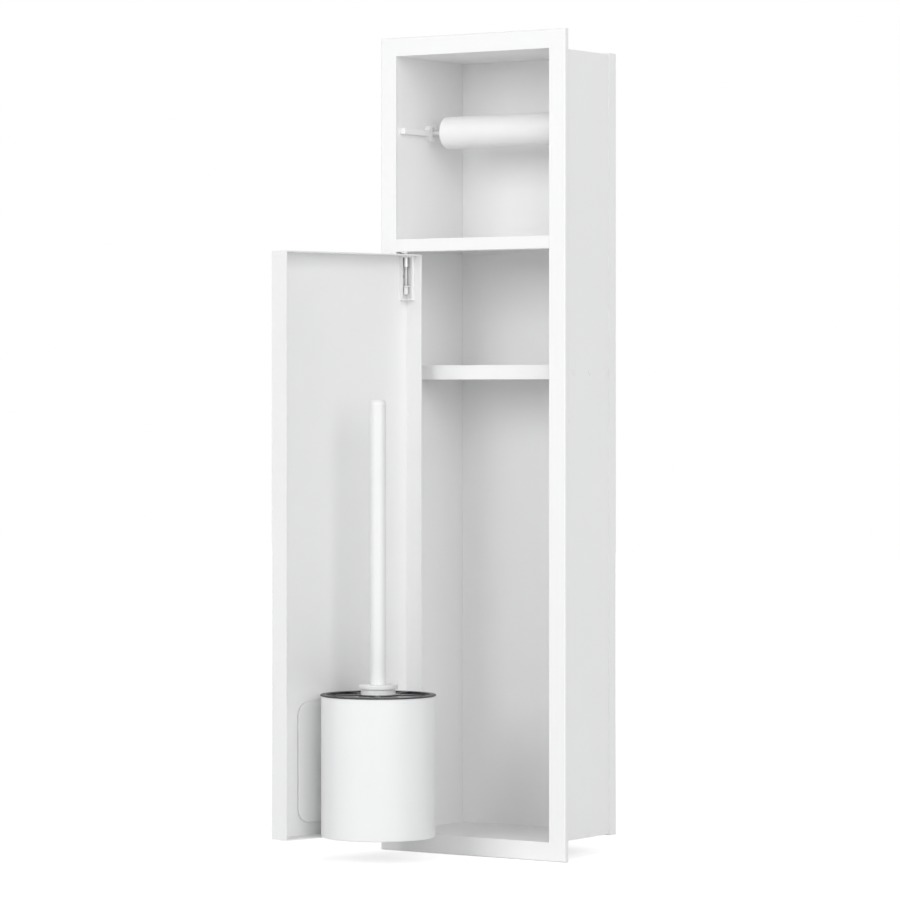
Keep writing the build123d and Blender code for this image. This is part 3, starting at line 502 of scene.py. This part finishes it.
# Bristles: tufts of fine strands
def bristle_tufts():
    """Strands set in rings of tufts, each ring half a step round from the next. A strand's middle
    line is root + s (tip - root); its section is a triangle of places round that line, which
    shrinks to a point at the tip."""
    head_x, head_y, head_radius, head_foot, head_top = round_node("brush_bristles")
    core_radius = 6.6 * millimetre
    foot_round = 14 * millimetre
    top_round = 6 * millimetre
    strand_width = 0.22 * millimetre
    rings, tufts, strands = 22, 22, 6
    root_scatter, tip_scatter = 0.02, 0.075
    root_rise = 0.2 * millimetre
    fan = 1.15 * millimetre
    uneven_ends = 0.8 * millimetre
    along_strand = (0.0, 0.45, 0.8, 1.0, 1.0)
    strand_taper = (1.0, 1.0, 0.9, 0.6, 0.0)
    strand_sides = 3
    chance = np.random.default_rng(seed=7)
    count = rings * tufts * strands
    ring, tuft = np.divmod(np.arange(count) // strands, tufts)
    height = head_foot + (head_top - head_foot) * (ring + 0.5) / rings
    angle = full_turn * (tuft + 0.5 * (ring % 2)) / tufts
    root_angle = angle + chance.normal(0, root_scatter, count)
    tip_angle = angle + chance.normal(0, tip_scatter, count)
    root_height = height + chance.normal(0, root_rise, count)
    tip_height = np.clip(
        height + chance.normal(0, fan, count), head_foot + strand_width, head_top - strand_width)
    above_foot = np.minimum(tip_height - head_foot, foot_round)
    below_top = np.minimum(head_top - tip_height, top_round)
    foot_loss = foot_round - np.sqrt(foot_round**2 - (foot_round - above_foot) ** 2)
    top_loss = top_round - np.sqrt(top_round**2 - (top_round - below_top) ** 2)
    reach = head_radius - foot_loss - top_loss - chance.uniform(0, uneven_ends, count)
    root = np.stack(
        [core_radius * np.cos(root_angle), core_radius * np.sin(root_angle), root_height], axis=-1)
    tip = np.stack([reach * np.cos(tip_angle), reach * np.sin(tip_angle), tip_height], axis=-1)
    s = np.array(along_strand)
    width = np.array(strand_taper) * strand_width
    middle = root[:, None] + s[None, :, None] * (tip - root)[:, None]
    sideways = np.stack([-np.sin(angle), np.cos(angle), np.zeros(count)], axis=-1)
    upward = np.array([0.0, 0.0, 1.0])
    corner = np.arange(strand_sides) * full_turn / strand_sides
    offset = (
        np.cos(corner)[None, None, :, None] * sideways[:, None, None, :]
        + np.sin(corner)[None, None, :, None] * upward
    ) * width[None, :, None, None]
    places = middle[:, :, None] + offset + np.array([head_x, head_y, 0])
    one = grid_faces(len(s), len(corner), wrap_rows=False)
    faces = (one[None] + (np.arange(count) * len(s) * len(corner))[:, None, None]).reshape(-1, 4)
    make_piece("bristle_tufts", places, faces, "brush", "white_bristle", "brush_bristles")


bristle_tufts()


# Coil springs
def coil_spring(name, node_name, along, turns, wire, body, still_end):
    """Wire wound on a helix that fills its CAD node's box. The middle line is radius (cos a, sin a)
    across the axis, with the height easing in and out so that the end turns lie close. Round it
    runs a circle of the wire's radius, drawn to a point at each end. The coil does not squash;
    the still end only sets a point that is not used."""
    steps_per_turn = 20
    end_closeness = 0.48
    wire_sides = 10
    wire_taper = 0.9
    low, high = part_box(node_name)
    low, high = np.array(low), np.array(high)
    axis = "xyz".index(along)
    across = [(axis + 1) % 3, (axis + 2) % 3]
    radius = (high - low)[across[0]] / 2 - wire
    centre = (low + high) / 2
    length = (high - low)[axis] - 2 * wire
    s = np.linspace(0, 1, turns * steps_per_turn + 1)
    ease = s - end_closeness * np.sin(full_turn * s) / full_turn
    angle = full_turn * turns * s
    line = np.zeros((len(s), 3))
    line[:, across[0]] = radius * np.cos(angle)
    line[:, across[1]] = radius * np.sin(angle)
    line[:, axis] = (ease - 0.5) * length
    tangent = np.gradient(line, axis=0)
    tangent /= np.linalg.norm(tangent, axis=1, keepdims=True)
    outward = line.copy()
    outward[:, axis] = 0
    outward /= np.linalg.norm(outward, axis=1, keepdims=True)
    third = np.cross(tangent, outward)
    ring = np.linspace(0, full_turn, wire_sides, endpoint=False)
    size = np.full(len(s), wire)
    size[[0, -1]] = 0
    size[[1, -2]] = wire * wire_taper
    section = (
        np.cos(ring)[None, :, None] * outward[:, None]
        + np.sin(ring)[None, :, None] * third[:, None]
    )
    places = line[:, None] + section * size[:, None, None] + centre
    faces = grid_faces(len(s), len(ring), wrap_rows=False)
    piece = make_piece(name, places, faces, body, "zinc_steel", node_name)
    anchor = centre.copy()
    anchor[axis] = low[axis] if still_end == "low" else high[axis]
    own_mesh(piece)


coil_spring(
    "pin_spring_coil", "pin_spring", along="z", turns=16, wire=0.2 * millimetre, body="door",
    still_end="low")
coil_spring(
    "latch_spring_coil", "latch_spring", along="y", turns=11, wire=0.25 * millimetre, body="cabinet",
    still_end="high")


# Floor, light and background
object_middle = (cad_low + cad_high) / 2
floor_half = 6.0
floor_gap = 0.3 * millimetre
floor_height = cad_low.z - floor_gap
floor_tone = (0.82, 0.82, 0.82, 1)
glow_near, glow_far = 0.55, 1.0
fade_start, fade_end = 0.6, 1.8
room_tint = (0.985, 0.992, 1.0, 1)
room_strength = 0.42
white = (1, 1, 1, 1)
white_strength = 1.0
lamp_distance = 6.0


def lit_mix(tree, seen, lit, surface):
    """Shows one shader to the camera and to gloss and glass, and another to the light."""
    path = tree.nodes.new("ShaderNodeLightPath")
    either = tree.nodes.new("ShaderNodeMath")
    either.operation = "MAXIMUM"
    any_of = tree.nodes.new("ShaderNodeMath")
    any_of.operation = "MAXIMUM"
    mix = tree.nodes.new("ShaderNodeMixShader")
    tree.links.new(path.outputs["Is Camera Ray"], either.inputs[0])
    tree.links.new(path.outputs["Is Glossy Ray"], either.inputs[1])
    tree.links.new(either.outputs[0], any_of.inputs[0])
    tree.links.new(path.outputs["Is Transmission Ray"], any_of.inputs[1])
    tree.links.new(any_of.outputs[0], mix.inputs["Fac"])
    tree.links.new(lit.outputs[0], mix.inputs[1])
    tree.links.new(seen.outputs[0], mix.inputs[2])
    tree.links.new(mix.outputs[0], surface)


# Room: dim to the object, plain white to the camera
world = bpy.data.worlds.new("soft_room")
bpy.context.scene.world = world
world.use_nodes = True
room = world.node_tree
room.nodes.clear()
room_light = room.nodes.new("ShaderNodeBackground")
room_light.inputs["Color"].default_value = room_tint
room_light.inputs["Strength"].default_value = room_strength
room_seen = room.nodes.new("ShaderNodeBackground")
room_seen.inputs["Color"].default_value = white
room_seen.inputs["Strength"].default_value = white_strength
room_end = room.nodes.new("ShaderNodeOutputWorld")
lit_mix(room, room_seen, room_light, room_end.inputs["Surface"])

# Floor: it keeps the shadow near the cabinet and fades to white away from it
floor_mesh = bpy.data.meshes.new("floor")
floor_mesh.from_pydata(
    [(-floor_half, -floor_half, floor_height), (floor_half, -floor_half, floor_height),
     (floor_half, floor_half, floor_height), (-floor_half, floor_half, floor_height)],
    [],
    [(0, 1, 2, 3)],
)
floor = bpy.data.objects.new("floor", floor_mesh)
bpy.context.scene.collection.objects.link(floor)
floor_paint = bpy.data.materials.new("floor_paint")
floor_paint.use_nodes = True
floor_tree = floor_paint.node_tree
floor_tree.nodes.clear()
floor_matt = floor_tree.nodes.new("ShaderNodeBsdfDiffuse")
floor_matt.inputs["Color"].default_value = floor_tone
floor_glow = floor_tree.nodes.new("ShaderNodeEmission")
floor_place = floor_tree.nodes.new("ShaderNodeTexCoord")
floor_reach = floor_tree.nodes.new("ShaderNodeVectorMath")
floor_reach.operation = "LENGTH"
floor_fade = floor_tree.nodes.new("ShaderNodeMapRange")
floor_fade.inputs["From Min"].default_value = fade_start
floor_fade.inputs["From Max"].default_value = fade_end
floor_fade.inputs["To Min"].default_value = glow_near
floor_fade.inputs["To Max"].default_value = glow_far
floor_tree.links.new(floor_place.outputs["Object"], floor_reach.inputs[0])
floor_tree.links.new(floor_reach.outputs["Value"], floor_fade.inputs["Value"])
floor_tree.links.new(floor_fade.outputs["Result"], floor_glow.inputs["Strength"])
floor_seen = floor_tree.nodes.new("ShaderNodeAddShader")
floor_tree.links.new(floor_matt.outputs[0], floor_seen.inputs[0])
floor_tree.links.new(floor_glow.outputs[0], floor_seen.inputs[1])
floor_end = floor_tree.nodes.new("ShaderNodeOutputMaterial")
lit_mix(floor_tree, floor_seen, floor_matt, floor_end.inputs["Surface"])
floor_mesh.materials.append(floor_paint)


def softbox(name, azimuth, elevation, width, height, power):
    """Soft lamp aimed at the cabinet, with its angles in degrees and its power in watts. Azimuth 0
    is straight in front and 90 at the right."""
    turn, rise = math.radians(azimuth), math.radians(elevation)
    away = np.array([math.sin(turn) * math.cos(rise), -math.cos(turn) * math.cos(rise), math.sin(rise)])
    lamp = bpy.data.lights.new(name, "AREA")
    lamp.shape = "RECTANGLE"
    lamp.size = width
    lamp.size_y = height
    lamp.energy = power
    holder = bpy.data.objects.new(name, lamp)
    holder.location = np.array(object_middle) + away * lamp_distance
    holder.rotation_mode = "QUATERNION"
    holder.rotation_quaternion = Vector(away).to_track_quat("Z", "Y")
    bpy.context.scene.collection.objects.link(holder)


softbox("front_softbox", azimuth=-9, elevation=20, width=3.6, height=3.0, power=120.0)
softbox("right_softbox", azimuth=55, elevation=18, width=5.6, height=4.5, power=156.0)
softbox("left_softbox", azimuth=-55, elevation=15, width=5.0, height=4.0, power=10.0)
softbox("back_softbox", azimuth=180, elevation=25, width=5.0, height=4.0, power=60.0)
